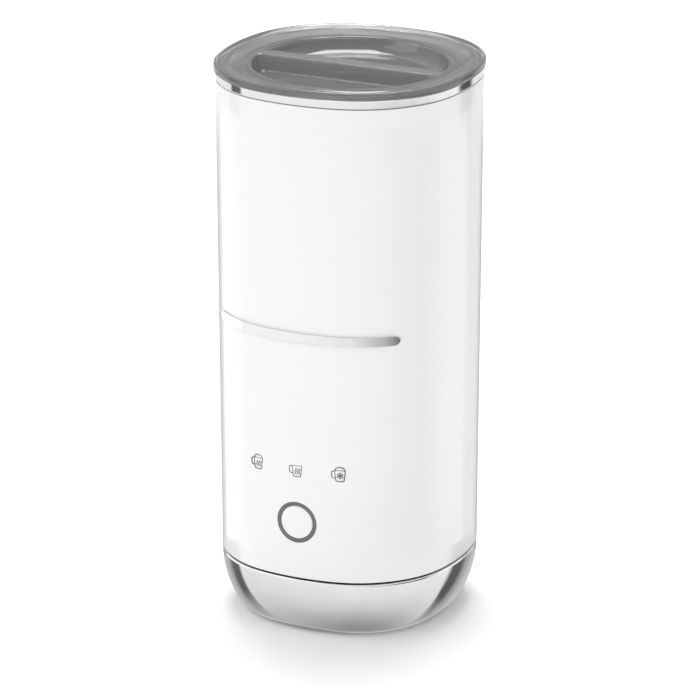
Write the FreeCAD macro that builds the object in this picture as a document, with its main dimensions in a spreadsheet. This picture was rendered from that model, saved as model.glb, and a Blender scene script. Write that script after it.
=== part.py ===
import FreeCAD, Part
import os
from math import atan2, cos, pi, sin, sqrt

import Sketcher
from FreeCAD import Vector

# Milk frother: a tall jug with a soft-square plan that stands on a bowl-shaped power base.
# Millimetres. +Z is up, -Y is the front (the button side), and the origin is the centre of
# the footprint, on the surface that the rubber feet stand on.

SIZES = [
    ("Plan outline", [
        ("half_width", 44.0, "centre to flat side, at the mouth"),
        ("seam_half_width", 42.93, "centre to flat side, at the seam over the base"),
        ("lid_half_width", 44.6, "centre to flat side, round the lid"),
        ("side_ratio", 1.67, "radius of a side arc over the half width"),
        ("corner_ratio", 0.8318, "radius of a corner arc over the half width"),
    ]),
    ("Levels above the table", [
        ("bowl_foot", 0.4, "underside of the bowl"),
        ("bowl_top", 21.7, "upper edge of the bowl"),
        ("jug_bottom", 22.1, "lower edge of the sleeve"),
        ("sleeve_top", 190.6, "upper edge of the sleeve"),
        ("rim_top", 193.3, "top of the polished ring"),
        ("lid_bottom", 193.5, "underside of the lid's plate"),
        ("lid_deck", 195.3, "top of the lid's plate"),
        ("lid_crest", 196.2, "top of the lid's raised rim"),
    ]),
    ("Power base", [
        ("bowl_wall", 1.6, "wall of the bowl"),
        ("bowl_foot_half_width", 32.8, "centre to the foot's turn, at a flat side"),
        ("bowl_foot_radius", 6.0, "outer radius of the foot's turn"),
        ("bowl_opening", 27.0, "centre to the edge of the opening underneath"),
        ("deck_top", 21.2, "top of the black deck"),
        ("deck_thickness", 2.5, "thickness of the deck"),
        ("deck_inset", 1.7, "deck edge inside the bowl's outline"),
        ("deck_hole", 12.3, "radius of the coupling's hole"),
        ("deck_boss", 3.5, "radius of a screw boss"),
        ("plate_foot", 0.5, "underside of the bottom plate"),
        ("plate_step", 2.0, "level where the plate widens over the bowl's lip"),
        ("plate_top", 3.9, "top of the bottom plate"),
        ("plug_inset", 16.05, "plate edge inside the seam outline, in the opening"),
        ("flange_inset", 12.9, "plate edge inside the seam outline, over the lip"),
        ("foot_radius", 4.5, "radius of a rubber foot"),
        ("foot_top", 2.0, "top of a foot in its pocket"),
        ("foot_reach", 15.5, "a foot's place along X and along Y"),
        ("base_screw_reach", 21.0, "a base screw's distance from the axis"),
        ("screw_head", 2.6, "radius of a screw head"),
        ("screw_head_height", 1.2, "height of a screw head"),
        ("screw_shank", 1.4, "radius of a screw's shank"),
        ("base_screw_length", 12.0, "length of a base screw with its head"),
        ("weight_inner", 8.0, "inner radius of the ballast ring"),
        ("weight_outer", 17.0, "outer radius of the ballast ring"),
        ("weight_height", 6.0, "height of the ballast ring"),
        ("coupling_foot", 15.5, "underside of the lower coupling half"),
        ("coupling_flange", 16.0, "radius of its flange under the deck"),
        ("coupling_neck", 12.2, "radius of its neck in the deck"),
        ("coupling_post", 9.5, "radius of its post"),
        ("coupling_top", 29.0, "top of its post"),
        ("socket_radius", 2.1, "radius of the centre socket"),
        ("socket_foot", 17.0, "bottom of the centre socket"),
        ("contact_depth", 0.7, "radial thickness of a contact ring"),
        ("contact_height", 1.4, "height of a contact ring"),
        ("contact_low", 22.8, "underside of the lower contact ring"),
        ("contact_high", 25.8, "underside of the upper contact ring"),
        ("inlet_level", 10.5, "height of the cord inlet's axis"),
        ("inlet_radius", 5.0, "outer radius of the inlet's gland"),
        ("inlet_bore", 3.1, "radius of the inlet's bore"),
        ("inlet_start", 33.0, "the gland's inner end, behind the axis"),
        ("inlet_hole_start", 30.0, "start of the hole cut for it, behind the axis"),
        ("inlet_length", 9.0, "length of the gland"),
    ]),
    ("Power coupling in the jug", [
        ("ring_foot", 22.6, "underside of the upper coupling half"),
        ("ring_inner", 10.0, "radius of the well that takes the post"),
        ("ring_outer", 15.3, "outer radius"),
        ("ring_collar", 17.5, "radius of the collar above the jug's bottom"),
        ("ring_collar_foot", 24.9, "underside of the collar"),
        ("ring_collar_top", 26.5, "top of the collar"),
        ("ring_roof", 31.0, "top of the well"),
        ("ring_top", 33.5, "top of the upper coupling half"),
        ("pin_radius", 1.5, "radius of the centre pin"),
        ("pin_foot", 18.0, "lower end of the centre pin"),
        ("pin_top", 35.0, "upper end of the centre pin"),
    ]),
    ("Jug shell and pot", [
        ("sleeve_wall", 2.0, "wall of the sleeve"),
        ("cover_inset", 2.1, "bottom cover's edge inside the sleeve's outline"),
        ("cover_thickness", 2.5, "thickness of the bottom cover"),
        ("cover_hole", 15.7, "radius of the hole for the coupling"),
        ("rim_bore", 39.3, "radius of the ring's bore round the pot"),
        ("rim_seat", 41.2, "radius of the seat for the pot's flange"),
        ("seat_level", 191.3, "floor of that seat"),
        ("flange_foot", 192.1, "underside of the pot's flange"),
        ("flange_top", 192.9, "top of the pot's flange"),
        ("flange_radius", 41.0, "radius of the pot's flange"),
        ("pot_inner", 38.0, "inner radius of the pot"),
        ("pot_wall", 0.8, "wall of the pot"),
        ("pot_floor", 88.0, "the pot's floor, inside"),
        ("pot_turn", 4.0, "bevel between the pot's floor and wall"),
        ("axle_radius", 1.6, "radius of the whisk's pin"),
        ("axle_base", 4.0, "radius of the pin's welded foot"),
        ("axle_base_top", 88.6, "top of the pin's foot"),
        ("axle_top", 96.0, "top of the pin"),
        ("heater_inner", 22.5, "inner radius of the heating ring"),
        ("heater_outer", 31.0, "outer radius of the heating ring"),
        ("heater_foot", 82.2, "underside of the heating ring"),
        ("sensor_radius", 1.7, "radius of the temperature sensor"),
        ("sensor_reach", 20.2, "the sensor's distance from the axis"),
        ("sensor_foot", 79.0, "underside of the sensor"),
        ("fuse_radius", 1.8, "radius of the thermal fuse"),
        ("fuse_half_length", 6.0, "half the length of the thermal fuse"),
        ("fuse_reach", 35.0, "the fuse's place behind the axis"),
        ("fuse_level", 84.0, "height of the fuse's axis"),
        ("lead_radius", 1.1, "radius of a heater lead"),
        ("lead_spread", 6.0, "a lead's place along X"),
        ("lead_reach", 27.0, "a lead's place behind the axis"),
        ("lead_hole", 1.5, "radius of a lead's hole in the chassis deck"),
    ]),
    ("Chassis and boards", [
        ("frame_inner", 31.9, "inner radius of the chassis tube"),
        ("frame_outer", 33.5, "outer radius of the chassis tube"),
        ("frame_foot", 24.6, "underside of the chassis tube"),
        ("frame_deck", 68.0, "underside of the chassis deck"),
        ("frame_deck_top", 70.0, "top of the chassis deck"),
        ("frame_hole", 6.5, "radius of the deck's hole for the motor"),
        ("cup_floor", 72.0, "floor of the cup round the pot"),
        ("cup_top", 84.0, "top of that cup"),
        ("cup_inner", 39.2, "inner radius of that cup"),
        ("cup_outer", 40.4, "outer radius of that cup"),
        ("frame_boss", 3.2, "radius of a screw boss"),
        ("frame_boss_top", 36.0, "top of a screw boss, where the power board rests"),
        ("frame_boss_reach", 20.5, "a boss's place along X and along Y"),
        ("jug_screw_length", 11.0, "length of a jug screw with its head"),
        ("board_thickness", 1.6, "thickness of both boards"),
        ("power_board_radius", 31.4, "radius of the power board"),
        ("power_board_hole", 5.0, "radius of its middle hole"),
        ("filter_start", 17.0, "low X of the filter capacitor"),
        ("filter_wide", 8.0, "its length along X"),
        ("filter_half", 6.0, "half its length along Y"),
        ("filter_high", 14.0, "its height"),
        ("relay_start", 27.0, "low X of the relay, to the left of the axis"),
        ("relay_wide", 9.0, "its length along X"),
        ("relay_half", 8.0, "half its length along Y"),
        ("relay_high", 12.0, "its height"),
        ("store_radius", 4.0, "radius of a storage capacitor"),
        ("store_high", 16.0, "its height"),
        ("store_spread", 12.0, "its place along X"),
        ("store_reach", 21.0, "its place behind the axis"),
        ("socket_start", 27.0, "low Y of the lead socket, ahead of the axis"),
        ("socket_half", 6.0, "half its length along X"),
        ("socket_deep", 7.0, "its length along Y"),
        ("socket_high", 8.0, "its height"),
        ("front_board_face", 35.9, "front face of the control board, ahead of the axis"),
        ("front_board_half", 17.5, "half the control board's width"),
        ("front_board_foot", 35.0, "lower edge of the control board"),
        ("front_board_top", 67.0, "upper edge of the control board"),
        ("rib_reach", 12.0, "a mounting rib's place along X"),
        ("rib_half", 2.0, "half the width of a mounting rib"),
        ("rib_root", 30.5, "the rib's start, inside the chassis wall"),
        ("board_screw_low", 40.0, "height of the lower board screws"),
        ("board_screw_high", 55.0, "height of the upper board screws"),
        ("board_screw_head", 1.5, "radius of a board screw's head"),
        ("board_screw_shank", 0.8, "radius of a board screw's shank"),
        ("board_screw_length", 4.0, "length of a board screw's shank"),
        ("board_screw_cap", 0.7, "height of a board screw's head"),
    ]),
    ("Front controls", [
        ("button_level", 42.7, "height of the button's axis"),
        ("button_hole", 7.42, "radius of the hole in the sleeve"),
        ("light_ring_outer", 7.4, "outer radius of the grey ring"),
        ("light_ring_inner", 6.0, "inner radius of the grey ring"),
        ("light_ring_back", 40.7, "back of the grey ring, ahead of the axis"),
        ("button_radius", 5.9, "radius of the push button"),
        ("button_flange", 6.9, "radius of the button's stop flange"),
        ("button_flange_face", 40.6, "front of the flange, ahead of the axis"),
        ("button_flange_back", 39.6, "back of the flange"),
        ("button_stem", 1.5, "radius of the button's stem"),
        ("button_stem_end", 39.1, "end of the stem"),
        ("switch_half", 3.0, "half the tact switch's width"),
        ("switch_face", 37.6, "front face of the switch's case"),
        ("plunger_radius", 1.6, "radius of the switch's plunger"),
        ("plunger_face", 38.15, "front of the plunger"),
        ("icon_level", 62.0, "height of the icons"),
        ("icon_pitch", 15.5, "distance between icons"),
        ("guide_radius", 2.6, "radius of a light guide"),
        ("guide_back", 37.1, "back of a light guide, ahead of the axis"),
        ("led_half", 1.5, "half a lamp's width"),
        ("led_height", 1.0, "a lamp's height over the board"),
        ("badge_level", 109.6, "height of the plain bar on the front"),
        ("badge_half_length", 32.0, "centre to the centre of the bar's round end"),
        ("badge_half_height", 1.6, "half the bar's height"),
        ("badge_relief", 0.7, "the bar's height over the sleeve"),
        ("front_reach", 50.0, "length of the tools that cut the front"),
    ]),
    ("Motor", [
        ("can_radius", 14.0, "radius of the motor can"),
        ("can_wall", 1.0, "wall of the motor can"),
        ("can_foot", 45.0, "lower edge of the motor can"),
        ("cap_foot", 43.0, "underside of the motor's end cap"),
        ("cap_plug_radius", 12.95, "radius of the end cap's plug in the can"),
        ("cap_plug_top", 47.0, "top of the end cap's plug"),
        ("bush_outer", 3.0, "outer radius of a bush"),
        ("bush_bore", 1.55, "bore radius of a bush"),
        ("bush_hole", 3.02, "radius of the holes that hold the bushes"),
        ("bush_height", 3.5, "height of a bush"),
        ("upper_bush_foot", 66.2, "underside of the upper bush"),
        ("field_inner", 11.4, "inner radius of the field magnets"),
        ("field_outer", 12.9, "outer radius of the field magnets"),
        ("field_foot", 48.5, "underside of the field magnets"),
        ("field_height", 15.5, "height of the field magnets"),
        ("field_arc", 130.0, "degrees that a field magnet spans"),
        ("motor_screw_reach", 9.0, "a motor screw's distance from the axis"),
        ("motor_screw_shank", 1.2, "radius of a motor screw's shank"),
        ("motor_screw_head", 2.2, "radius of a motor screw's head"),
        ("motor_screw_length", 3.5, "length of a motor screw's shank"),
        ("shaft_radius", 1.5, "radius of the motor shaft"),
        ("shaft_foot", 43.5, "lower end of the motor shaft"),
        ("shaft_top", 84.0, "upper end of the motor shaft"),
        ("core_radius", 10.6, "radius of the armature"),
        ("core_foot", 49.0, "underside of the armature"),
        ("core_height", 14.5, "height of the armature"),
        ("core_slot_start", 4.0, "inner end of an armature slot"),
        ("core_slot_half", 1.1, "half the width of an armature slot"),
        ("core_slot_turn", 72.0, "degrees from one armature slot to the next"),
        ("carrier_hub", 4.5, "radius of the magnet carrier's hub"),
        ("carrier_foot", 74.0, "underside of that hub"),
        ("carrier_disc_foot", 79.5, "underside of the carrier's disc"),
        ("carrier_top", 85.5, "top of the carrier's disc"),
        ("carrier_radius", 17.0, "radius of the carrier's disc"),
        ("magnet_reach", 10.3, "a coupling magnet's distance from the axis"),
        ("drive_magnet_radius", 4.2, "radius of a drive magnet"),
        ("drive_magnet_height", 3.0, "height of a drive magnet"),
    ]),
    ("Whisk", [
        ("whisk_foot", 88.9, "underside of the whisk and its bush"),
        ("whisk_bush_bore", 1.66, "bore radius of the whisk's bush"),
        ("whisk_bush_outer", 2.9, "outer radius of the whisk's bush"),
        ("whisk_bush_top", 95.0, "top of the whisk's bush"),
        ("hub_bore", 2.96, "bore radius of the whisk's hub"),
        ("hub_radius", 6.0, "outer radius of the whisk's hub"),
        ("hub_roof", 96.3, "top of the hub's bore"),
        ("hub_top", 97.6, "top of the hub"),
        ("disc_radius", 14.5, "radius of the whisk's magnet disc"),
        ("disc_top", 92.4, "top of the whisk's magnet disc"),
        ("whisk_magnet_radius", 3.3, "radius of a whisk magnet"),
        ("whisk_magnet_height", 2.0, "height of a whisk magnet"),
        ("arm_half", 1.5, "half the width of a whisk arm"),
        ("arm_foot", 89.6, "underside of a whisk arm"),
        ("arm_height", 2.4, "height of a whisk arm"),
        ("arm_start", 13.0, "inner end of a whisk arm"),
        ("arm_end", 20.5, "outer end of a whisk arm"),
        ("coil_radius", 19.0, "radius of the coil ring's centre line"),
        ("coil_thickness", 2.6, "radius of the coil itself"),
        ("coil_level", 91.8, "height of the coil ring's centre line"),
    ]),
    ("Lid", [
        ("lid_rim_width", 3.0, "width of the lid's raised rim"),
        ("lid_wall", 1.4, "wall of the lid's scoops"),
        ("scoop_radius", 33.6, "radius of the finger scoops' outline"),
        ("bar_half", 3.0, "half the grip bar's width"),
        ("scoop_floor", 189.8, "floor of the finger scoops"),
        ("scoop_draft", 25.0, "degrees that the scoops' walls lean in"),
        ("skirt_outer", 36.8, "outer radius of the lid's skirt"),
        ("skirt_inner", 34.6, "inner radius of the lid's skirt"),
        ("skirt_foot", 180.5, "lower edge of the lid's skirt"),
        ("skirt_root", 194.0, "where the skirt ends, inside the plate"),
        ("groove_radius", 36.0, "radius of the gasket's groove"),
        ("groove_foot", 184.0, "underside of the gasket's groove"),
        ("groove_top", 187.0, "top of the gasket's groove"),
        ("gasket_radius", 37.6, "outer radius of the lid gasket"),
    ]),
]

doc = FreeCAD.newDocument("milk_frother")
sheet = doc.addObject("Spreadsheet::Sheet", "sizes")
sheet.Label = "sizes"

row = 1
for heading, cells in SIZES:
    sheet.set(f"A{row}", heading)
    row += 1
    for alias, number, note in cells:
        sheet.set(f"A{row}", alias)
        sheet.set(f"B{row}", str(number))
        sheet.set(f"C{row}", note)
        sheet.setAlias(f"B{row}", alias)
        row += 1
doc.recompute()

nodes = []


# ---------------------------------------------------------------- lengths and expressions

def length(text):
    """Value of a sum of cells and numbers, such as "pot_inner + pot_wall"."""
    total = 0.0
    sign = 1.0
    for word in text.split():
        if word in "+-":
            sign = 1.0 if word == "+" else -1.0
        else:
            total += sign * float(word if word[0].isdigit() else sheet.get(word))
    return total


def minus(text):
    """The same sum with every sign turned round."""
    flipped = {"+": "-", "-": "+"}
    return "0 - " + " ".join(flipped.get(word, word) for word in text.split())


def formula(text):
    """The same sum as an expression that reads the spreadsheet."""
    return " ".join("sizes." + word if word[0].isalpha() else word for word in text.split())


def bind(thing, **properties):
    """Bind properties to sums of cells; two underscores stand for a dot."""
    for name, text in properties.items():
        thing.setExpression(name.replace("__", "."), formula(text))


def place(thing, x="0", y="0", z="0"):
    bind(thing, Placement__Base__x=x, Placement__Base__y=y, Placement__Base__z=z)


def node(thing, label):
    """Give a finished sub-part its name and put it on the list of files."""
    thing.Label = label
    nodes.append(thing)
    return thing


# ---------------------------------------------------------------- round and square tools

def cylinder(name, radius, height, x="0", y="0", z="0"):
    """Upright cylinder that stands at x, y, z."""
    tool = doc.addObject("Part::Cylinder", name)
    bind(tool, Radius=radius, Height=height)
    place(tool, x, y, z)
    return tool


def front_cylinder(name, radius, back, face, x="0", z="0"):
    """Cylinder along Y, from back to face, both measured ahead of the axis."""
    tool = cylinder(name, radius, f"{face} + {minus(back)}", x, minus(back), z)
    tool.Placement.Rotation = FreeCAD.Rotation(Vector(1, 0, 0), 90)
    return tool


def cuboid(name, x, y, z, wide, deep, high):
    """Box with its low corner at x, y, z."""
    tool = doc.addObject("Part::Box", name)
    bind(tool, Length=wide, Width=deep, Height=high)
    place(tool, x, y, z)
    return tool


def cut(name, base, tool):
    result = doc.addObject("Part::Cut", name)
    result.Base = base
    result.Tool = tool
    return result


def cut_all(name, base, tools):
    return cut(name, base, group(f"{name}_tools", tools))


def fuse(name, shapes):
    result = doc.addObject("Part::MultiFuse", name)
    result.Shapes = shapes
    result.Refine = True
    return result


def common(name, shapes):
    result = doc.addObject("Part::MultiCommon", name)
    result.Shapes = shapes
    return result


def group(name, shapes):
    """Separate solids that share one node, or several tools that cut at once."""
    result = doc.addObject("Part::Compound", name)
    result.Links = shapes
    return result


def tube(name, outer, inner, foot, height):
    return cut(name, cylinder(f"{name}_outer", outer, height, z=foot),
               cylinder(f"{name}_inner", inner, height, z=foot))


def four_ways(reach):
    """Places on the X and Y axes, at one distance from the Z axis."""
    return [(reach, "0"), ("0", reach), (f"0 - {reach}", "0"), ("0", f"0 - {reach}")]


def four_corners(reach):
    """Places on the diagonals, reach along X and reach along Y."""
    away = f"0 - {reach}"
    return [(reach, reach), (away, reach), (away, away), (reach, away)]


# ---------------------------------------------------------------- sketches

def soft_square(name, half_width, inset, level):
    """Level sketch of a square with bowed sides: eight arcs, each tangent to the next.

    The side arcs are centred on the axes, across the middle from their side. The corner arcs
    are centred on the diagonals. inset shrinks all the radii and leaves the centres, which
    gives the outline of a wall of even thickness.
    """
    across = length(half_width)
    side_radius = length("side_ratio") * across - length(inset)
    corner_radius = length("corner_ratio") * across - length(inset)
    side_offset = (length("side_ratio") - 1) * across
    gap = side_radius - corner_radius
    corner_offset = (sqrt(2 * gap ** 2 - side_offset ** 2) - side_offset) / 2
    half_side = atan2(corner_offset, corner_offset + side_offset)

    sketch = doc.addObject("Sketcher::SketchObject", name)
    place(sketch, z=level)
    for quarter in range(4):
        turn = FreeCAD.Rotation(Vector(0, 0, 1), 90 * quarter)
        angle = pi / 2 * (quarter - 1)
        side_centre = turn.multVec(Vector(0, side_offset, 0))
        corner_centre = turn.multVec(Vector(corner_offset, -corner_offset, 0))
        side = Part.Circle(side_centre, Vector(0, 0, 1), side_radius)
        corner = Part.Circle(corner_centre, Vector(0, 0, 1), corner_radius)
        sketch.addGeometry(Part.ArcOfCircle(side, angle - half_side, angle + half_side))
        sketch.addGeometry(Part.ArcOfCircle(corner, angle + half_side, angle + pi / 2 - half_side))

    width_text = formula(half_width)
    inset_text = formula(inset)
    radius_text = [f"sizes.side_ratio * {width_text} - ({inset_text})",
                   f"sizes.corner_ratio * {width_text} - ({inset_text})"]
    offset_text = f"(sizes.side_ratio - 1) * {width_text}"
    for arc in range(8):
        sketch.addConstraint(Sketcher.Constraint("Tangent", arc, 2, (arc + 1) % 8, 1))
        radius = side_radius if arc % 2 == 0 else corner_radius
        index = sketch.addConstraint(Sketcher.Constraint("Radius", arc, radius))
        sketch.setExpression(f"Constraints[{index}]", radius_text[arc % 2])
    for quarter in range(4):
        on_axis, direction = (-2, "DistanceY") if quarter % 2 == 0 else (-1, "DistanceX")
        sign = 1 if quarter in (0, 3) else -1
        arc = 2 * quarter
        sketch.addConstraint(Sketcher.Constraint("PointOnObject", arc, 3, on_axis))
        index = sketch.addConstraint(
            Sketcher.Constraint(direction, -1, 1, arc, 3, sign * side_offset))
        sketch.setExpression(f"Constraints[{index}]", f"{sign} * ({offset_text})")
    return sketch


def prism(name, half_width, inset, foot, top):
    """Upright soft-square block between two levels."""
    block = doc.addObject("Part::Extrusion", name)
    block.Base = soft_square(f"{name}_outline", half_width, inset, foot)
    block.DirMode = "Normal"
    block.Solid = True
    bind(block, LengthFwd=f"{top} + {minus(foot)}")
    return block


def tapered_block(name, inset):
    """Soft-square block with the sleeve's taper, shrunk by inset."""
    block = doc.addObject("Part::Loft", name)
    block.Sections = [soft_square(f"{name}_low", "seam_half_width", inset, "jug_bottom"),
                      soft_square(f"{name}_high", "half_width", inset, "sleeve_top")]
    block.Solid = True
    block.Ruled = True
    return block


def half_moon(name, radius, chord, side, foot, top):
    """Half-round block that leans in towards its foot; side is 1 behind and -1 in front."""
    reach = length(radius)
    offset = length(chord)
    start = atan2(offset, sqrt(reach ** 2 - offset ** 2))
    sketch = doc.addObject("Sketcher::SketchObject", f"{name}_outline")
    place(sketch, z=top)
    circle = Part.Circle(Vector(0, 0, 0), Vector(0, 0, 1), reach)
    first, last = (start, pi - start) if side > 0 else (pi + start, 2 * pi - start)
    arc = sketch.addGeometry(Part.ArcOfCircle(circle, first, last))
    ends = [Vector(reach * cos(angle), reach * sin(angle), 0) for angle in (last, first)]
    line = sketch.addGeometry(Part.LineSegment(*ends))
    sketch.addConstraint(Sketcher.Constraint("Coincident", arc, 2, line, 1))
    sketch.addConstraint(Sketcher.Constraint("Coincident", line, 2, arc, 1))
    sketch.addConstraint(Sketcher.Constraint("Coincident", arc, 3, -1, 1))
    sketch.addConstraint(Sketcher.Constraint("Horizontal", line))
    index = sketch.addConstraint(Sketcher.Constraint("Radius", arc, reach))
    sketch.setExpression(f"Constraints[{index}]", formula(radius))
    index = sketch.addConstraint(
        Sketcher.Constraint("DistanceY", -1, 1, line, 1, side * offset))
    sketch.setExpression(f"Constraints[{index}]", f"{side} * ({formula(chord)})")

    block = doc.addObject("Part::Extrusion", name)
    block.Base = sketch
    block.DirMode = "Normal"
    block.Reversed = True
    block.Solid = True
    bind(block, LengthFwd=f"{top} + {minus(foot)}")
    block.setExpression("TaperAngle", "0 - sizes.scoop_draft")
    return block


def turned(label, corners):
    """Body of revolution about Z from the corners of its half section, (radius, level)."""
    body = doc.addObject("PartDesign::Body", label)
    sketch = body.newObject("Sketcher::SketchObject", f"{label}_section")
    plane = next(item for item in body.Origin.OriginFeatures if item.Role == "XZ_Plane")
    sketch.AttachmentSupport = (plane, [""])
    sketch.MapMode = "FlatFace"
    points = [Vector(length(radius), length(level), 0) for radius, level in corners]
    count = len(points)
    for index in range(count):
        sketch.addGeometry(Part.LineSegment(points[index], points[(index + 1) % count]))
    for index in range(count):
        sketch.addConstraint(
            Sketcher.Constraint("Coincident", index, 2, (index + 1) % count, 1))
    for index, (radius, level) in enumerate(corners):
        for direction, text in (("DistanceX", radius), ("DistanceY", level)):
            number = sketch.addConstraint(
                Sketcher.Constraint(direction, -1, 1, index, 1, length(text)))
            sketch.setExpression(f"Constraints[{number}]", formula(text))
    turn = body.newObject("PartDesign::Revolution", f"{label}_turn")
    turn.Profile = sketch
    turn.ReferenceAxis = (sketch, ["V_Axis"])
    turn.Angle = 360
    body.Tip = turn
    return body


def screws(name, places, head, head_height, shank, whole, foot):
    """Upright screws with their heads down, as one group of solids."""
    made = []
    for number, (x, y) in enumerate(places, 1):
        parts = [cylinder(f"{name}_head_{number}", head, head_height, x, y, foot),
                 cylinder(f"{name}_shank_{number}", shank, whole, x, y, foot)]
        made.append(fuse(f"{name}_{number}", parts))
    return group(name, made)


# ---------------------------------------------------------------- power base

def make_base_bowl():
    """Shell swept round the seam outline: a long side arc runs into a small turn at the foot."""
    wide = length("seam_half_width")
    top = length("bowl_top")
    foot = length("bowl_foot")
    turn_x = length("bowl_foot_half_width")
    turn_radius = length("bowl_foot_radius")
    wall = length("bowl_wall")
    run = wide - turn_x
    drop = top - foot
    side_radius = (run ** 2 + drop ** 2 - 2 * drop * turn_radius) / (2 * (run - turn_radius))
    side_centre = Vector(wide - side_radius, top, 0)
    turn_centre = Vector(turn_x, foot + turn_radius, 0)
    meet = atan2(turn_centre.y - side_centre.y, turn_centre.x - side_centre.x)
    up = Vector(0, 0, 1)

    body = doc.addObject("PartDesign::Body", "bowl_shell")
    planes = {item.Role: item for item in body.Origin.OriginFeatures}
    section = body.newObject("Sketcher::SketchObject", "bowl_section")
    section.AttachmentSupport = (planes["XZ_Plane"], [""])
    section.MapMode = "FlatFace"
    outer_side = Part.ArcOfCircle(Part.Circle(side_centre, up, side_radius), meet, 0)
    outer_turn = Part.ArcOfCircle(Part.Circle(turn_centre, up, turn_radius), -pi / 2, meet)
    inner_side = Part.ArcOfCircle(Part.Circle(side_centre, up, side_radius - wall), meet, 0)
    inner_turn = Part.ArcOfCircle(Part.Circle(turn_centre, up, turn_radius - wall), -pi / 2, meet)
    lip = length("bowl_opening")
    lines = [(Vector(wide, top, 0), Vector(wide - wall, top, 0)),
             (Vector(turn_x, foot + wall, 0), Vector(lip, foot + wall, 0)),
             (Vector(lip, foot + wall, 0), Vector(lip, foot, 0)),
             (Vector(lip, foot, 0), Vector(turn_x, foot, 0))]
    for curve in (outer_side, outer_turn, inner_side, inner_turn):
        section.addGeometry(curve)
    for start, end in lines:
        section.addGeometry(Part.LineSegment(start, end))
    joins = [("Tangent", 0, 1, 1, 2), ("Tangent", 2, 1, 3, 2), ("Coincident", 0, 2, 4, 1),
             ("Coincident", 4, 2, 2, 2), ("Tangent", 3, 1, 5, 1), ("Coincident", 5, 2, 6, 1),
             ("Coincident", 6, 2, 7, 1), ("Tangent", 7, 2, 1, 1), ("Coincident", 0, 3, 2, 3),
             ("Coincident", 1, 3, 3, 3), ("Horizontal", 4), ("Horizontal", 7), ("Vertical", 6)]
    for join in joins:
        section.addConstraint(Sketcher.Constraint(*join))
    dimensions = [("DistanceX", 0, 2, "seam_half_width"), ("DistanceY", 0, 2, "bowl_top"),
                  ("DistanceY", 0, 3, "bowl_top"), ("DistanceX", 1, 3, "bowl_foot_half_width"),
                  ("DistanceY", 7, 1, "bowl_foot"), ("DistanceX", 7, 1, "bowl_opening")]
    for direction, item, point, text in dimensions:
        index = section.addConstraint(
            Sketcher.Constraint(direction, -1, 1, item, point, length(text)))
        section.setExpression(f"Constraints[{index}]", formula(text))
    for item, text in ((1, "bowl_foot_radius"), (3, "bowl_foot_radius - bowl_wall")):
        index = section.addConstraint(Sketcher.Constraint("Radius", item, length(text)))
        section.setExpression(f"Constraints[{index}]", formula(text))

    path = soft_square("bowl_path", "seam_half_width", "0", "bowl_top")
    body.addObject(path)
    sweep = body.newObject("PartDesign::AdditivePipe", "bowl_sweep")
    sweep.Profile = section
    sweep.Spine = (path, [])
    body.Tip = sweep
    return body


def make_base():
    bowl = make_base_bowl()
    inlet_hole = front_cylinder("inlet_hole", "inlet_radius", "0 - front_reach",
                                "0 - inlet_hole_start", z="inlet_level")
    node(cut("bowl_with_inlet", bowl, inlet_hole), "base_bowl")

    places = four_ways("base_screw_reach")
    deck = prism("deck_plate", "seam_half_width", "deck_inset", "deck_top - deck_thickness",
                 "deck_top")
    bosses = [cylinder(f"deck_boss_{number}", "deck_boss",
                       "deck_top - plate_top - screw_head_height", x, y, "plate_top")
              for number, (x, y) in enumerate(places, 1)]
    holes = [cylinder(f"deck_pilot_{number}", "screw_shank", "base_screw_length", x, y,
                      "plate_foot") for number, (x, y) in enumerate(places, 1)]
    holes.append(cylinder("deck_centre_hole", "deck_hole", "deck_top", z="plate_top"))
    node(cut_all("deck_drilled", fuse("deck_solid", [deck] + bosses), holes), "base_top_cover")

    contacts = []
    post = "coupling_post"
    groove = "coupling_post - contact_depth"
    corners = [("0", "coupling_foot"), ("coupling_flange", "coupling_foot"),
               ("coupling_flange", "deck_top - deck_thickness"),
               ("coupling_neck", "deck_top - deck_thickness"),
               ("coupling_neck", "deck_top"), (post, "deck_top")]
    for number, level in enumerate(("contact_low", "contact_high"), 1):
        corners += [(post, level), (groove, level), (groove, f"{level} + contact_height"),
                    (post, f"{level} + contact_height")]
        contacts.append(tube(f"contact_ring_{number}", post, groove, level, "contact_height"))
    corners += [(post, "coupling_top - 1"), ("coupling_post - 1", "coupling_top"),
                ("socket_radius", "coupling_top"), ("socket_radius", "socket_foot"),
                ("0", "socket_foot")]
    node(turned("lower_coupling", corners), "base_connector")
    node(group("contact_rings", contacts), "base_contact_rings")

    feet = []
    pockets = []
    for number, (x, y) in enumerate(four_corners("foot_reach"), 1):
        feet.append(cylinder(f"foot_{number}", "foot_radius", "foot_top", x, y))
        pockets.append(cylinder(f"foot_pocket_{number}", "foot_radius", "foot_top", x, y))
    node(group("feet", feet), "base_feet")

    for number, (x, y) in enumerate(places, 1):
        pockets.append(cylinder(f"base_head_pocket_{number}", "screw_head",
                                "plate_foot + screw_head_height", x, y))
        pockets.append(cylinder(f"base_screw_hole_{number}", "screw_shank", "plate_top", x, y))
    plate = fuse("plate_solid", [
        prism("plate_plug", "seam_half_width", "plug_inset", "plate_foot", "plate_step"),
        prism("plate_flange", "seam_half_width", "flange_inset", "plate_step", "plate_top")])
    node(cut_all("plate_drilled", plate, pockets), "base_bottom_plate")
    node(screws("base_screw", places, "screw_head", "screw_head_height", "screw_shank",
                "base_screw_length", "plate_foot"), "base_screws")

    node(tube("ballast", "weight_outer", "weight_inner", "plate_top", "weight_height"),
         "base_weight")

    gland = front_cylinder("gland_body", "inlet_radius", "0 - inlet_start - inlet_length",
                           "0 - inlet_start", z="inlet_level")
    bore = front_cylinder("gland_bore", "inlet_bore", "0 - inlet_start - inlet_length",
                          "0 - inlet_start", z="inlet_level")
    node(cut("gland", gland, bore), "cord_inlet")


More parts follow.
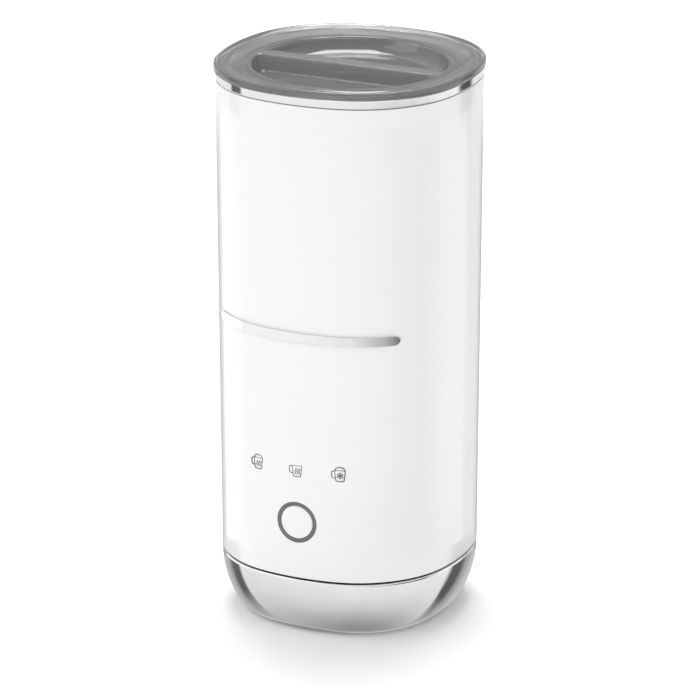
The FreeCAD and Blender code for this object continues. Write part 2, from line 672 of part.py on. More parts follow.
# ---------------------------------------------------------------- coupling half in the jug

def make_jug_connector():
    node(turned("upper_coupling", [
        ("ring_inner", "ring_foot"), ("ring_outer", "ring_foot"),
        ("ring_outer", "ring_collar_foot"), ("ring_collar", "ring_collar_foot"),
        ("ring_collar", "ring_collar_top"), ("ring_outer", "ring_collar_top"),
        ("ring_outer", "ring_top"), ("pin_radius", "ring_top"), ("pin_radius", "ring_roof"),
        ("ring_inner", "ring_roof")]), "jug_connector")
    node(cylinder("centre_pin", "pin_radius", "pin_top - pin_foot", z="pin_foot"),
         "jug_contact_pin")


# ---------------------------------------------------------------- jug shell, pot and heater

def make_shell():
    outer = tapered_block("sleeve_outer", "0")
    inner = tapered_block("sleeve_inner", "sleeve_wall")
    hole = front_cylinder("button_hole_tool", "button_hole", "button_stem_end", "front_reach",
                          z="button_level")
    node(cut_all("sleeve", outer, [inner, hole]), "outer_sleeve")

    ring = prism("rim_block", "half_width", "0", "sleeve_top", "rim_top")
    bore = cylinder("rim_bore_tool", "rim_bore", "rim_top - sleeve_top", z="sleeve_top")
    seat = cylinder("rim_seat_tool", "rim_seat", "rim_top - seat_level", z="seat_level")
    node(cut_all("rim", ring, [bore, seat]), "rim_ring")

    badge = fuse("badge_outline", [
        cuboid("badge_bar", "0 - badge_half_length", "0 - front_reach",
               "badge_level - badge_half_height", "badge_half_length + badge_half_length",
               "front_reach", "badge_half_height + badge_half_height"),
        front_cylinder("badge_end_1", "badge_half_height", "0", "front_reach",
                       "badge_half_length", "badge_level"),
        front_cylinder("badge_end_2", "badge_half_height", "0", "front_reach",
                       "0 - badge_half_length", "badge_level")])
    proud = tapered_block("badge_face", "0 - badge_relief")
    node(cut("badge", common("badge_block", [badge, proud]), outer), "front_badge")
    return outer, inner


def make_pot():
    node(turned("pot", [
        ("0", "pot_floor - pot_wall"), ("pot_inner - pot_turn + pot_wall", "pot_floor - pot_wall"),
        ("pot_inner + pot_wall", "pot_floor + pot_turn - pot_wall"),
        ("pot_inner + pot_wall", "flange_foot"), ("flange_radius", "flange_foot"),
        ("flange_radius", "flange_top"), ("pot_inner", "flange_top"),
        ("pot_inner", "pot_floor + pot_turn"), ("pot_inner - pot_turn", "pot_floor"),
        ("0", "pot_floor")]), "inner_pot")
    node(tube("flange_seal", "flange_radius", "rim_bore", "seat_level",
              "flange_foot - seat_level"), "pot_gasket")
    node(turned("whisk_pin", [
        ("0", "pot_floor"), ("axle_base", "pot_floor"), ("axle_base", "axle_base_top"),
        ("axle_radius", "axle_base_top"), ("axle_radius", "axle_top - 0.5"),
        ("axle_radius - 0.5", "axle_top"), ("0", "axle_top")]), "whisk_axle")
    node(tube("heating_ring", "heater_outer", "heater_inner", "heater_foot",
              "pot_floor - pot_wall - heater_foot"), "heater_ring")
    node(cylinder("sensor", "sensor_radius", "pot_floor - pot_wall - sensor_foot",
                  "sensor_reach", "0", "sensor_foot"), "temperature_sensor")
    fuse_body = cylinder("fuse", "fuse_radius", "fuse_half_length + fuse_half_length",
                         "0 - fuse_half_length", "fuse_reach", "fuse_level")
    fuse_body.Placement.Rotation = FreeCAD.Rotation(Vector(0, 1, 0), 90)
    node(fuse_body, "thermal_fuse")
    leads = [cylinder(f"lead_{number}", "lead_radius",
                      "heater_foot - frame_boss_top - board_thickness", x, "lead_reach",
                      "frame_boss_top + board_thickness")
             for number, x in enumerate(("lead_spread", "0 - lead_spread"), 1)]
    node(group("leads", leads), "heater_leads")


# ---------------------------------------------------------------- chassis, covers and boards

def make_chassis():
    shell = turned("chassis_shell", [
        ("frame_hole", "frame_deck"), ("frame_inner", "frame_deck"),
        ("frame_inner", "frame_foot"), ("frame_outer", "frame_foot"),
        ("frame_outer", "frame_deck_top"), ("cup_outer", "frame_deck_top"),
        ("cup_outer", "cup_top"), ("cup_inner", "cup_top"), ("cup_inner", "cup_floor"),
        ("frame_inner", "cup_floor"), ("frame_inner", "frame_deck_top"),
        ("frame_hole", "frame_deck_top")])
    places = four_corners("frame_boss_reach")
    solids = [shell]
    holes = []
    for number, (x, y) in enumerate(places, 1):
        solids.append(cylinder(f"frame_boss_{number}", "frame_boss",
                               "frame_boss_top - frame_foot", x, y, "frame_foot"))
        holes.append(cylinder(f"frame_pilot_{number}", "screw_shank", "jug_screw_length", x, y,
                              "jug_bottom"))
    rib_back = "front_board_face - board_thickness"
    for sign, word in (("0 + ", "right"), ("0 - ", "left")):
        rib = f"{sign}rib_reach"
        solids.append(cuboid(f"frame_rib_{word}", f"{rib} - rib_half", minus(rib_back),
                             "front_board_foot", "rib_half + rib_half",
                             f"{rib_back} - rib_root", "front_board_top - front_board_foot"))
        for level in ("board_screw_low", "board_screw_high"):
            holes.append(front_cylinder(f"rib_pilot_{word}_{level}", "board_screw_shank",
                                        "rib_root", "front_board_face", rib, level))
        holes.append(cylinder(f"motor_screw_hole_{word}", "motor_screw_shank",
                              "frame_deck_top", f"{sign}motor_screw_reach", "0", "can_foot"))
        holes.append(cylinder(f"lead_hole_{word}", "lead_hole", "frame_deck_top",
                              f"{sign}lead_spread", "lead_reach", "can_foot"))
    node(cut_all("chassis_drilled", fuse("chassis_solid", solids), holes), "chassis")

    cover = prism("cover_plate", "seam_half_width", "cover_inset", "jug_bottom",
                  "jug_bottom + cover_thickness")
    openings = [cylinder("cover_centre", "cover_hole", "cover_thickness", z="jug_bottom")]
    for number, (x, y) in enumerate(places, 1):
        openings.append(cylinder(f"cover_head_{number}", "screw_head", "screw_head_height", x, y,
                                 "jug_bottom"))
        openings.append(cylinder(f"cover_hole_{number}", "screw_shank", "cover_thickness", x, y,
                                 "jug_bottom"))
    node(cut_all("cover_drilled", cover, openings), "jug_bottom_cover")
    node(screws("jug_screw", places, "screw_head", "screw_head_height", "screw_shank",
                "jug_screw_length", "jug_bottom"), "jug_screws")


def make_boards(inner):
    top = "frame_boss_top + board_thickness"
    node(tube("power_disc", "power_board_radius", "power_board_hole", "frame_boss_top",
              "board_thickness"), "power_board")
    node(group("power_parts", [
        cuboid("filter_capacitor", "filter_start", "0 - filter_half", top, "filter_wide",
               "filter_half + filter_half", "filter_high"),
        cuboid("relay", "0 - relay_start", "0 - relay_half", top, "relay_wide",
               "relay_half + relay_half", "relay_high"),
        cylinder("storage_capacitor", "store_radius", "store_high", "store_spread",
                 "store_reach", top),
        cylinder("second_capacitor", "store_radius", "store_high", "0 - store_spread",
                 "store_reach", top),
        cuboid("lead_socket", "0 - socket_half", "0 - socket_start", top,
               "socket_half + socket_half", "socket_deep", "socket_high")]),
        "power_board_parts")

    board = cuboid("control_plate", "0 - front_board_half", "0 - front_board_face",
                   "front_board_foot", "front_board_half + front_board_half",
                   "board_thickness", "front_board_top - front_board_foot")
    pilots = []
    fasteners = []
    for x in ("rib_reach", "0 - rib_reach"):
        for level in ("board_screw_low", "board_screw_high"):
            number = len(pilots) + 1
            shank_end = "front_board_face - board_screw_length"
            pilots.append(front_cylinder(f"board_pilot_{number}", "board_screw_shank",
                                         shank_end, "front_board_face", x, level))
            fasteners.append(fuse(f"board_screw_{number}", [
                front_cylinder(f"board_shank_{number}", "board_screw_shank", shank_end,
                               "front_board_face", x, level),
                front_cylinder(f"board_head_{number}", "board_screw_head", "front_board_face",
                               "front_board_face + board_screw_cap", x, level)]))
    node(cut_all("control_drilled", board, pilots), "control_board")
    node(group("board_fasteners", fasteners), "board_screws")

    node(fuse("tact", [
        cuboid("tact_case", "0 - switch_half", "0 - switch_face", "button_level - switch_half",
               "switch_half + switch_half", "switch_face - front_board_face",
               "switch_half + switch_half"),
        front_cylinder("tact_plunger", "plunger_radius", "front_board_face", "plunger_face",
                       z="button_level")]), "tact_switch")

    lamps = []
    guides = []
    for number, x in enumerate(("0 - icon_pitch", "0", "icon_pitch"), 1):
        lamps.append(cuboid(f"lamp_{number}", f"{x} - led_half",
                            "0 - front_board_face - led_height", "icon_level - led_half",
                            "led_half + led_half", "led_height", "led_half + led_half"))
        rod = front_cylinder(f"guide_rod_{number}", "guide_radius", "guide_back", "front_reach",
                             x, "icon_level")
        guides.append(common(f"guide_{number}", [rod, inner]))
    node(group("lamps", lamps), "indicator_leds")
    node(group("light_guides", guides), "icon_light_guides")


def make_button(outer):
    ring_disc = front_cylinder("light_ring_disc", "light_ring_outer", "light_ring_back",
                               "front_reach", z="button_level")
    ring_hole = front_cylinder("light_ring_hole", "light_ring_inner", "light_ring_back",
                               "front_reach", z="button_level")
    node(common("light_ring", [cut("light_ring_tube", ring_disc, ring_hole), outer]),
         "button_ring")
    cap = fuse("button_solid", [
        front_cylinder("button_cap", "button_radius", "button_flange_back", "front_reach",
                       z="button_level"),
        front_cylinder("button_flange_disc", "button_flange", "button_flange_back",
                       "button_flange_face", z="button_level"),
        front_cylinder("button_stem_rod", "button_stem", "button_stem_end",
                       "button_flange_back", z="button_level")])
    node(common("button", [cap, outer]), "push_button")


# ---------------------------------------------------------------- motor

def make_motor():
    node(turned("can", [
        ("can_radius", "can_foot"), ("can_radius", "frame_deck"), ("bush_hole", "frame_deck"),
        ("bush_hole", "frame_deck - can_wall"),
        ("can_radius - can_wall", "frame_deck - can_wall"),
        ("can_radius - can_wall", "can_foot")]), "motor_can")
    node(turned("end_cap", [
        ("bush_hole", "cap_foot"), ("can_radius", "cap_foot"), ("can_radius", "can_foot"),
        ("cap_plug_radius", "can_foot"), ("cap_plug_radius", "cap_plug_top"),
        ("bush_hole", "cap_plug_top")]), "motor_end_cap")
    node(group("bushes", [
        tube("lower_bush", "bush_outer", "bush_bore", "cap_foot", "bush_height"),
        tube("upper_bush", "bush_outer", "bush_bore", "upper_bush_foot", "bush_height")]),
        "motor_bushes")

    magnets = []
    for number in (1, 2):
        outer = cylinder(f"field_outer_{number}", "field_outer", "field_height",
                         z="field_foot")
        bind(outer, Angle="field_arc")
        outer.Placement.Rotation = FreeCAD.Rotation(Vector(0, 0, 1), 180 * number)
        hollow = cylinder(f"field_inner_{number}", "field_inner", "field_height",
                          z="field_foot")
        magnets.append(cut(f"field_magnet_{number}", outer, hollow))
    node(group("field_magnets", magnets), "motor_magnets")

    fasteners = []
    for number, x in enumerate(("motor_screw_reach", "0 - motor_screw_reach"), 1):
        fasteners.append(fuse(f"motor_screw_{number}", [
            cylinder(f"motor_shank_{number}", "motor_screw_shank", "frame_deck_top - frame_deck",
                     x, "0", "frame_deck"),
            cylinder(f"motor_head_{number}", "motor_screw_head", "screw_head_height", x, "0",
                     "frame_deck_top")]))
    node(group("motor_fasteners", fasteners), "motor_screws")

    node(cylinder("shaft", "shaft_radius", "shaft_top - shaft_foot", z="shaft_foot"),
         "motor_shaft")
    slots = []
    for number in range(5):
        slot = group(f"core_slot_{number + 1}", [
            cuboid(f"core_slot_box_{number + 1}", "core_slot_start", "0 - core_slot_half",
                   "core_foot", "core_radius", "core_slot_half + core_slot_half",
                   "core_height")])
        slot.setExpression("Placement.Rotation.Angle", f"sizes.core_slot_turn * {number}")
        slots.append(slot)
    slots.append(cylinder("core_bore", "shaft_radius", "core_height", z="core_foot"))
    core = cylinder("core_block", "core_radius", "core_height", z="core_foot")
    node(cut_all("core", core, slots), "motor_armature")

    carrier = turned("carrier_solid", [
        ("shaft_radius", "carrier_foot"), ("carrier_hub", "carrier_foot"),
        ("carrier_hub", "carrier_disc_foot"), ("carrier_radius", "carrier_disc_foot"),
        ("carrier_radius", "carrier_top"), ("shaft_radius", "carrier_top")])
    pockets = []
    magnets = []
    for number, (x, y) in enumerate(four_ways("magnet_reach"), 1):
        foot = "carrier_top - drive_magnet_height"
        pockets.append(cylinder(f"drive_pocket_{number}", "drive_magnet_radius",
                                "drive_magnet_height", x, y, foot))
        magnets.append(cylinder(f"drive_magnet_{number}", "drive_magnet_radius",
                                "drive_magnet_height", x, y, foot))
    node(cut_all("carrier", carrier, pockets), "magnet_carrier")
    node(group("drive_set", magnets), "drive_magnets")


# ---------------------------------------------------------------- whisk

def make_whisk():
    node(tube("bush_tube", "whisk_bush_outer", "whisk_bush_bore", "whisk_foot",
              "whisk_bush_top - whisk_foot"), "whisk_bush")
    hub = turned("whisk_hub", [
        ("hub_bore", "whisk_foot"), ("disc_radius", "whisk_foot"), ("disc_radius", "disc_top"),
        ("hub_radius", "disc_top"), ("hub_radius", "hub_top - 1"),
        ("hub_radius - 1", "hub_top"), ("0", "hub_top"), ("0", "hub_roof"),
        ("hub_bore", "hub_roof")])
    arms = []
    for number in range(2):
        bar = cuboid(f"arm_bar_{number + 1}", "0 - arm_end", "0 - arm_half", "arm_foot",
                     "arm_end + arm_end", "arm_half + arm_half", "arm_height")
        gap = cylinder(f"arm_gap_{number + 1}", "arm_start", "arm_height", z="arm_foot")
        arm = cut(f"arm_pair_{number + 1}", bar, gap)
        arm.Placement.Rotation = FreeCAD.Rotation(Vector(0, 0, 1), 90 * number)
        arms.append(arm)
    pockets = []
    magnets = []
    for number, (x, y) in enumerate(four_ways("magnet_reach"), 1):
        foot = "disc_top - whisk_magnet_height"
        pockets.append(cylinder(f"whisk_pocket_{number}", "whisk_magnet_radius",
                                "whisk_magnet_height", x, y, foot))
        magnets.append(cylinder(f"whisk_magnet_{number}", "whisk_magnet_radius",
                                "whisk_magnet_height", x, y, foot))
    node(cut_all("whisk_body", fuse("whisk_solid", [hub] + arms), pockets), "whisk_frame")
    node(group("whisk_magnet_set", magnets), "whisk_magnets")
    coil = doc.addObject("Part::Torus", "whisk_ring")
    bind(coil, Radius1="coil_radius", Radius2="coil_thickness")
    place(coil, z="coil_level")
    node(coil, "whisk_coil")


# ---------------------------------------------------------------- lid

def make_lid():
    plate = prism("lid_plate", "lid_half_width", "0", "lid_bottom", "lid_crest")
    dish = prism("lid_dish", "lid_half_width", "lid_rim_width", "lid_deck", "lid_crest")
    skirt = turned("lid_skirt", [
        ("skirt_inner", "skirt_foot"), ("skirt_outer", "skirt_foot"),
        ("skirt_outer", "groove_foot"), ("groove_radius", "groove_foot"),
        ("groove_radius", "groove_top"), ("skirt_outer", "groove_top"),
        ("skirt_outer", "skirt_root"), ("skirt_inner", "skirt_root")])
    solids = [cut("lid_dished", plate, dish), skirt]
    scoops = []
    for side, word in ((1, "back"), (-1, "front")):
        solids.append(half_moon(f"{word}_cup", "scoop_radius + lid_wall",
                                "bar_half - lid_wall", side, "scoop_floor - lid_wall",
                                "lid_deck"))
        scoops.append(half_moon(f"{word}_scoop", "scoop_radius", "bar_half", side,
                                "scoop_floor", "lid_deck"))
    node(cut_all("lid", fuse("lid_solid", solids), scoops), "lid_shell")
    node(tube("lid_seal", "gasket_radius", "groove_radius", "groove_foot",
              "groove_top - groove_foot"), "lid_gasket")


make_base()
make_jug_connector()
outer_form, inner_form = make_shell()
make_pot()
make_chassis()
make_boards(inner_form)
make_button(outer_form)
make_motor()
make_whisk()
make_lid()
doc.recompute()

# ---------------------------------------------------------------- checks and files

for thing in doc.Objects:
    if "Invalid" in thing.State or "Error" in thing.State:
        raise RuntimeError(f"{thing.Name} did not recompute: {thing.State}")
for part in nodes:
    if part.Shape.isNull() or not part.Shape.isValid() or part.Shape.Volume <= 0:
        raise RuntimeError(f"{part.Label} has no valid solid")

os.makedirs("parts", exist_ok=True)
for part in nodes:
    part.Shape.exportStep(f"parts/{part.Label}.step")
    box = part.Shape.BoundBox
    print(f"{part.Label}: {len(part.Shape.Solids)} solids, {part.Shape.Volume:.0f} mm3,",
          f"z {box.ZMin:.2f} to {box.ZMax:.2f}")
print(len(nodes), "nodes")
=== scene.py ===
from math import atan2, cos, pi, radians, sin, sqrt, tan

import bmesh
import bpy
from mathutils import Matrix, Vector


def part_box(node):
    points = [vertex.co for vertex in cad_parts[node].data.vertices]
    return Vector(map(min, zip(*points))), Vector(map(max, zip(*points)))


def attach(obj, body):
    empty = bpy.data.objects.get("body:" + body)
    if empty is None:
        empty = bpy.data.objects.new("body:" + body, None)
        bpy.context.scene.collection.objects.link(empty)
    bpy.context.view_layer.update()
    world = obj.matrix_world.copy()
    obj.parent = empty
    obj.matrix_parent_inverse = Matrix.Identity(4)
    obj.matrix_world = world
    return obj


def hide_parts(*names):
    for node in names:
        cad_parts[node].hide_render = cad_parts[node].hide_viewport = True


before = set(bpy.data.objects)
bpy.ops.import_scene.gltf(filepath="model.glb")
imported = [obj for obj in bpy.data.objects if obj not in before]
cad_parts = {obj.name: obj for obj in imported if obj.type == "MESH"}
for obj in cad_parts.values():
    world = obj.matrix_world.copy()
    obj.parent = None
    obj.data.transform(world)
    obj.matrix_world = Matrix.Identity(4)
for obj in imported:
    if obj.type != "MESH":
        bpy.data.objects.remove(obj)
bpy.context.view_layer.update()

MM = 0.001

# ---------------------------------------------------------------- sizes, in metres

# Plan outline: side and corner arcs, as shares of the half width at that level.
SIDE_RATIO = 1.67
CORNER_RATIO = 0.8318
SIDE_STEPS = 20
CORNER_STEPS = 40

sleeve_low, sleeve_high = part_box("outer_sleeve")
bowl_low, bowl_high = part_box("base_bowl")
rim_low, rim_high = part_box("rim_ring")
lid_low, lid_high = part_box("lid_shell")
gasket_low, gasket_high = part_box("lid_gasket")
button_low, button_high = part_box("push_button")
light_low, light_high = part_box("button_ring")
coil_low, coil_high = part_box("whisk_coil")

TOP_HALF = sleeve_high.x
SEAM_HALF = bowl_high.x
LID_HALF = lid_high.x
SLEEVE_WALL = 2.0 * MM
EDGE = 0.35 * MM
CRISP_EDGE = 0.15 * MM
FOOT_GAP = 0.35 * MM
TOP_GAP = 0.3 * MM
SMOOTH_ANGLE = 32


def jug_half(level):
    """Half width of the jug's tapered sleeve at a level."""
    share = (level - sleeve_low.z) / (sleeve_high.z - sleeve_low.z)
    return SEAM_HALF + (TOP_HALF - SEAM_HALF) * share


# ---------------------------------------------------------------- rings of points

def outline(half):
    """Centre offsets and the side arc's half angle of a soft square."""
    side_offset = (SIDE_RATIO - 1) * half
    gap = (SIDE_RATIO - CORNER_RATIO) * half
    corner_offset = (sqrt(2 * gap ** 2 - side_offset ** 2) - side_offset) / 2
    half_side = atan2(corner_offset, corner_offset + side_offset)
    return side_offset, corner_offset, half_side


def soft_square(half, inset, level):
    """One turn of points round a soft square, from the front side, seen from above."""
    side_offset, corner_offset, half_side = outline(half)
    side_radius = SIDE_RATIO * half - inset
    corner_radius = CORNER_RATIO * half - inset
    points = []
    for quarter in range(4):
        turn = Matrix.Rotation(pi / 2 * quarter, 3, "Z")
        middle = pi / 2 * (quarter - 1)
        arcs = [(Vector((0, side_offset, 0)), side_radius, middle - half_side,
                 middle + half_side, SIDE_STEPS),
                (Vector((corner_offset, -corner_offset, 0)), corner_radius,
                 middle + half_side, middle + pi / 2 - half_side, CORNER_STEPS)]
        for centre, radius, first, last, steps in arcs:
            centre = turn @ centre
            for step in range(steps):
                angle = first + (last - first) * step / steps
                points.append(Vector((centre.x + radius * cos(angle),
                                      centre.y + radius * sin(angle), level)))
    return points


PLAN_ANGLES = [atan2(point.y, point.x) for point in soft_square(TOP_HALF, 0, 0)]


def circle(radius, level):
    """Circle whose points face the soft square's points."""
    return [Vector((radius * cos(angle), radius * sin(angle), level))
            for angle in PLAN_ANGLES]


def half_moon(radius, chord, corner, side, level, arc_steps=72, corner_steps=8, chord_steps=24):
    """Half-round outline with rounded corners; its flat side is chord away from the X axis."""
    reach = sqrt((radius - corner) ** 2 - (chord + corner) ** 2)
    start = atan2(chord + corner, reach)
    points = []
    for step in range(corner_steps):
        angle = -pi / 2 + (start + pi / 2) * step / corner_steps
        points.append((reach + corner * cos(angle), chord + corner + corner * sin(angle)))
    for step in range(arc_steps):
        angle = start + (pi - 2 * start) * step / arc_steps
        points.append((radius * cos(angle), radius * sin(angle)))
    for step in range(corner_steps):
        angle = pi - start + (start + pi / 2) * step / corner_steps
        points.append((-reach + corner * cos(angle), chord + corner + corner * sin(angle)))
    for step in range(chord_steps):
        points.append((-reach + 2 * reach * step / chord_steps, chord))
    return [Vector((x, side * y, level)) for x, y in points]


def arc(centre, radius, first, last, steps=6):
    """Points of a section: (distance from the edge, level) round a centre, degrees."""
    turned = []
    for step in range(steps + 1):
        angle = radians(first + (last - first) * step / steps)
        turned.append((centre[0] + radius * cos(angle), centre[1] + radius * sin(angle)))
    return turned


# ---------------------------------------------------------------- mesh building

def add_ring(bm, points):
    return [bm.verts.new(point) for point in points]


def bridge(bm, lower, upper):
    count = len(lower)
    for index in range(count):
        after = (index + 1) % count
        bm.faces.new((lower[index], lower[after], upper[after], upper[index]))


def skin(bm, rings, loop=False):
    """Joins rings of points one after another, and the last to the first if loop is set."""
    made = [add_ring(bm, points) for points in rings]
    for lower, upper in zip(made, made[1:]):
        bridge(bm, lower, upper)
    if loop:
        bridge(bm, made[-1], made[0])
    return made


def fill(bm, loops):
    """Flat face between an outer loop and the loops inside it."""
    edges = []
    for ring in loops:
        for index, vertex in enumerate(ring):
            edges.append(bm.edges.get((vertex, ring[(index + 1) % len(ring)])))
    bmesh.ops.triangle_fill(bm, use_beauty=True, use_dissolve=False, edges=edges)


def cap(bm, ring):
    bm.faces.new(ring)


def finish_mesh(name, bm, smooth_angle=SMOOTH_ANGLE):
    """Turns a bmesh into a piece with smooth shading and crisp edges."""
    bmesh.ops.recalc_face_normals(bm, faces=bm.faces)
    mesh = bpy.data.meshes.new(name)
    bm.to_mesh(mesh)
    bm.free()
    mesh.shade_smooth()
    mesh.set_sharp_from_angle(angle=radians(smooth_angle))
    piece = bpy.data.objects.new(name, mesh)
    bpy.context.scene.collection.objects.link(piece)
    return piece


def settle(piece, material, body, slot, *nodes):
    """Gives a piece its material and its body, and hides the CAD nodes it stands for; the slot
    argument is not used.
    """
    piece.data.materials.append(material)
    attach(piece, body)
    if nodes:
        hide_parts(*nodes)
    return piece


def cut_away(piece, cutter):
    """Cuts one closed mesh out of another and throws the cutter away."""
    modifier = piece.modifiers.new("cut", "BOOLEAN")
    modifier.operation = "DIFFERENCE"
    modifier.solver = "EXACT"
    modifier.object = cutter
    bpy.context.view_layer.update()
    graph = bpy.context.evaluated_depsgraph_get()
    mesh = bpy.data.meshes.new_from_object(piece.evaluated_get(graph))
    piece.modifiers.clear()
    piece.data = mesh
    mesh.shade_smooth()
    mesh.set_sharp_from_angle(angle=radians(SMOOTH_ANGLE))
    bpy.data.objects.remove(cutter)


def ring_y(radius, y, z, steps):
    """Upright circle round the line x = 0 at a height z."""
    return [Vector((radius * cos(2 * pi * step / steps), y,
                    z + radius * sin(2 * pi * step / steps))) for step in range(steps)]


def rod_y(name, radius, first, last, z, steps=96):
    """Plain rod along Y, used to cut round holes."""
    bm = bmesh.new()
    made = skin(bm, [ring_y(radius, y, z, steps) for y in (first, last)])
    cap(bm, made[0])
    cap(bm, made[1])
    return finish_mesh(name, bm)


# ---------------------------------------------------------------- materials

def new_material(name):
    material = bpy.data.materials.new(name)
    material.use_nodes = True
    return material, material.node_tree, material.node_tree.nodes["Principled BSDF"]


def set_sockets(shader, **values):
    for name, value in values.items():
        shader.inputs[name.replace("_", " ")].default_value = value


def link(tree, source, output, target, socket):
    tree.links.new(source.outputs[output], target.inputs[socket])


def noise(tree, scale, detail=2.0, stretch=None):
    """Noise in the object's own coordinates, in metres, so it stays on the surface."""
    place = tree.nodes.new("ShaderNodeTexCoord")
    texture = tree.nodes.new("ShaderNodeTexNoise")
    texture.inputs["Scale"].default_value = scale
    texture.inputs["Detail"].default_value = detail
    if stretch is None:
        link(tree, place, "Object", texture, "Vector")
    else:
        mapping = tree.nodes.new("ShaderNodeMapping")
        mapping.inputs["Scale"].default_value = stretch
        link(tree, place, "Object", mapping, "Vector")
        link(tree, mapping, "Vector", texture, "Vector")
    return texture


def ramp_to(tree, texture, shader, socket, dark, light):
    """Noise drives a socket between two values or two colours."""
    ramp = tree.nodes.new("ShaderNodeValToRGB")
    ends = ramp.color_ramp.elements
    if not isinstance(dark, tuple):
        dark, light = (dark, dark, dark), (light, light, light)
    ends[0].position = 0.3
    ends[0].color = (*dark, 1)
    ends[1].position = 0.7
    ends[1].color = (*light, 1)
    link(tree, texture, "Fac", ramp, "Fac")
    link(tree, ramp, "Color", shader, socket)


def bump_from(tree, texture, shader, strength, distance):
    bump = tree.nodes.new("ShaderNodeBump")
    bump.inputs["Strength"].default_value = strength
    bump.inputs["Distance"].default_value = distance
    link(tree, texture, "Fac", bump, "Height")
    link(tree, bump, "Normal", shader, "Normal")


def surface(name, dark, light, rough_low, rough_high, grain, bump=0.1, depth=0.00002,
            stretch=None, **sockets):
    """Material whose colour, roughness and relief all vary with fine noise."""
    material, tree, shader = new_material(name)
    set_sockets(shader, **sockets)
    ramp_to(tree, noise(tree, grain * 0.13, 3.0), shader, "Base Color", dark, light)
    fine = noise(tree, grain, 4.0, stretch)
    ramp_to(tree, fine, shader, "Roughness", rough_low, rough_high)
    bump_from(tree, fine, shader, bump, depth)
    return material


white_gloss = surface("white_gloss", (0.80, 0.80, 0.802), (0.81, 0.81, 0.81), 0.2, 0.26, 260,
                      bump=0.02, depth=0.000004, Coat_Weight=0.8, Coat_Roughness=0.04,
                      Specular_IOR_Level=0.3)
chrome = surface("polished_chrome", (0.80, 0.80, 0.81), (0.84, 0.84, 0.85), 0.045, 0.075, 700,
                 bump=0.02, depth=0.00001, Metallic=1.0)
brushed = surface("brushed_steel", (0.60, 0.60, 0.61), (0.68, 0.68, 0.69), 0.26, 0.4, 1500,
                  bump=0.2, depth=0.00002, stretch=(1, 1, 12), Metallic=1.0)
satin = surface("satin_steel", (0.52, 0.52, 0.53), (0.6, 0.6, 0.61), 0.24, 0.34, 1400,
                bump=0.12, depth=0.00001, stretch=(1, 1, 14), Metallic=1.0)
black_plastic = surface("black_plastic", (0.018, 0.018, 0.019), (0.03, 0.03, 0.032), 0.42, 0.58,
                        2200, bump=0.35, depth=0.00004)
rubber = surface("black_rubber", (0.02, 0.02, 0.02), (0.035, 0.035, 0.034), 0.7, 0.85, 1800,
                 bump=0.4, depth=0.00004)
silicone = surface("grey_silicone", (0.42, 0.43, 0.44), (0.5, 0.51, 0.52), 0.45, 0.6, 1200,
                   bump=0.15, depth=0.00003, Subsurface_Weight=0.2)
brass = surface("brass", (0.72, 0.52, 0.24), (0.8, 0.6, 0.3), 0.2, 0.32, 1600, bump=0.1,
                Metallic=1.0)
zinc = surface("zinc_plate", (0.62, 0.63, 0.65), (0.74, 0.75, 0.76), 0.25, 0.4, 2400, bump=0.2,
               Metallic=1.0)
cast = surface("cast_aluminium", (0.5, 0.5, 0.51), (0.62, 0.62, 0.63), 0.4, 0.6, 1400, bump=0.5,
               depth=0.00006, Metallic=1.0)
potting = surface("potted_case", (0.6, 0.56, 0.46), (0.7, 0.66, 0.55), 0.45, 0.6, 1500)
red_lead = surface("lead_insulation", (0.42, 0.05, 0.035), (0.52, 0.08, 0.05), 0.4, 0.55, 1300)
board = surface("board_mask", (0.012, 0.11, 0.05), (0.02, 0.16, 0.07), 0.3, 0.42, 1900,
                bump=0.3, Coat_Weight=0.3)
moulded = surface("moulded_parts", (0.03, 0.03, 0.035), (0.06, 0.06, 0.065), 0.35, 0.5, 2000)
ferrite = surface("ferrite", (0.04, 0.04, 0.042), (0.07, 0.07, 0.072), 0.55, 0.75, 2600,
                  bump=0.6, depth=0.00005)
bronze = surface("sintered_bronze", (0.4, 0.25, 0.13), (0.52, 0.34, 0.19), 0.4, 0.55, 3000,
                 bump=0.5, Metallic=1.0)
nylon = surface("natural_nylon", (0.62, 0.61, 0.57), (0.7, 0.69, 0.65), 0.4, 0.55, 1500,
                bump=0.15, Subsurface_Weight=0.15)
nickel = surface("nickel_plate", (0.66, 0.65, 0.63), (0.74, 0.73, 0.71), 0.12, 0.2, 1700,
                 Metallic=1.0)
ring_grey = surface("ring_grey", (0.14, 0.142, 0.145), (0.16, 0.162, 0.165), 0.5, 0.6, 1500,
                    bump=0.05, Specular_IOR_Level=0.2)
print_grey = surface("icon_print", (0.09, 0.09, 0.092), (0.115, 0.115, 0.117), 0.5, 0.6, 3000,
                     bump=0.05)
clear = surface("clear_guide", (0.9, 0.92, 0.93), (0.95, 0.96, 0.96), 0.08, 0.16, 1200,
                bump=0.02, Transmission_Weight=0.85, IOR=1.49)
smoked = surface("smoked_clear", (0.50, 0.502, 0.506), (0.54, 0.542, 0.546), 0.012, 0.024, 60,
                 bump=0.01, depth=0.000002, Transmission_Weight=0.8, IOR=1.52)


# ---------------------------------------------------------------- power base

BOWL_WALL = 1.6 * MM
FOOT_TURN = 6.0 * MM
FOOT_INSET = SEAM_HALF - 32.8 * MM
OPENING_INSET = SEAM_HALF - 27.0 * MM


